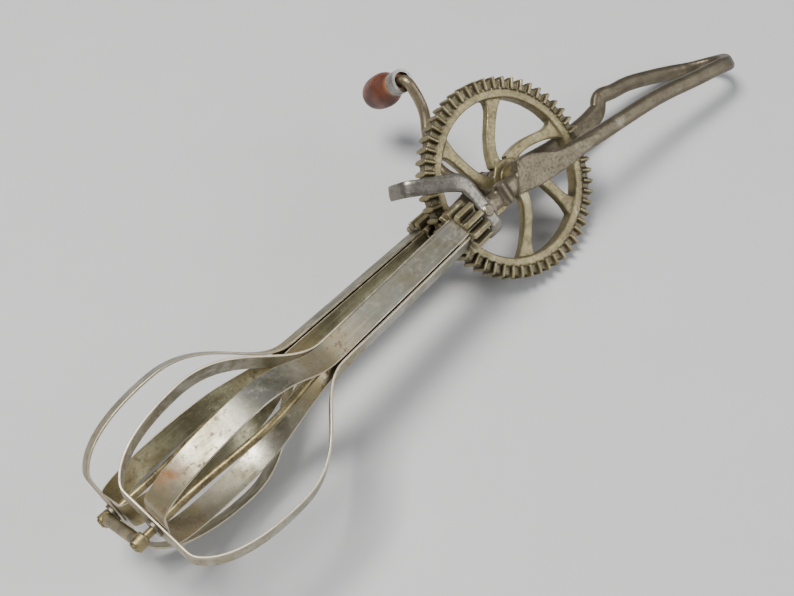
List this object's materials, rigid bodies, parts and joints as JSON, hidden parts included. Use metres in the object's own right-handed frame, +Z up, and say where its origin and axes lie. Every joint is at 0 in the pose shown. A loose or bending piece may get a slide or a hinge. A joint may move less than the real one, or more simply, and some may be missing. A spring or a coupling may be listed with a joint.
{
  "type": "rotary egg beater",
  "caption": "Hand-cranked rotary egg beater: a toothed centre wheel between two frame legs drives two caged strip dashers, with a loop handle and a wooden crank knob.",
  "frame": {"origin": "bottom centre of the bounding box, on the table that the beater lies on", "axes": "+X along the beater from the dashers to the handle's loop, +Z up from the table, +Y across"},
  "size_m": [0.3304, 0.1212, 0.0745],
  "materials": {
    "frame_iron": "dull, handled smooth, brown patina",
    "bright_iron": "rubbed bright",
    "wheel_iron": "khaki-brown patina with worn bright tooth edges",
    "pinion_iron": "khaki-brown patina, worn teeth",
    "rod_steel": "tarnished",
    "crank_iron": "tarnished khaki",
    "ferrule_steel": "rubbed grey",
    "knob_wood": "worn red-brown varnish",
    "front_strip": "tarnished tinned steel with rust specks",
    "back_strip": "tarnished tinned steel, olive brown",
    "wire_steel": "tan tarnish"
  },
  "bodies": {
    "frame": {"frame": "frame_iron", "bowl_rest": "bright_iron", "bowl_rest_rivet": "frame_iron", "front_end_washer": "rod_steel", "back_end_washer": "rod_steel", "front_centre_wire": "wire_steel", "back_centre_wire": "wire_steel", "bottom_bar": "wire_steel"},
    "drive": {"drive_wheel": "wheel_iron", "wheel_axle": "rod_steel", "front_axle_washer": "rod_steel", "back_axle_washer": "rod_steel", "crank_rod": "crank_iron", "knob_washer": "ferrule_steel"},
    "knob": {"crank_knob": "knob_wood", "knob_ferrule": "ferrule_steel"},
    "front_dasher": {"front_pinion": "pinion_iron", "front_outer_loop": "front_strip", "front_inner_loop": "front_strip"},
    "back_dasher": {"back_pinion": "pinion_iron", "back_outer_loop": "back_strip", "back_inner_loop": "back_strip"}
  },
  "joints": [
    {"name": "crank_turn", "type": "hinge", "parent": "frame", "child": "drive", "pos_m": [0.03258, -0.01866, 0.03034], "axis": [0.024, -0.6875, 0.7258], "continuous": true},
    {"name": "front_dasher_turn", "type": "hinge", "parent": "frame", "child": "front_dasher", "pos_m": [-0.0031, -0.02725, 0.0406], "axis": [0.9983, 0.0392, -0.0439], "continuous": true},
    {"name": "back_dasher_turn", "type": "hinge", "parent": "frame", "child": "back_dasher", "pos_m": [-0.0037, -0.01007, 0.02246], "axis": [0.9997, -0.024, -0.0076], "continuous": true},
    {"name": "knob_turn", "type": "hinge", "parent": "drive", "child": "knob", "pos_m": [0.03541, 0.04728, 0.0376], "axis": [-0.024, 0.6875, -0.7258], "continuous": true}
  ],
  "couplings": [
    {"joint": "front_dasher_turn", "follows": "crank_turn", "ratio": -4.9091},
    {"joint": "back_dasher_turn", "follows": "crank_turn", "ratio": 4.9091}
  ]
}
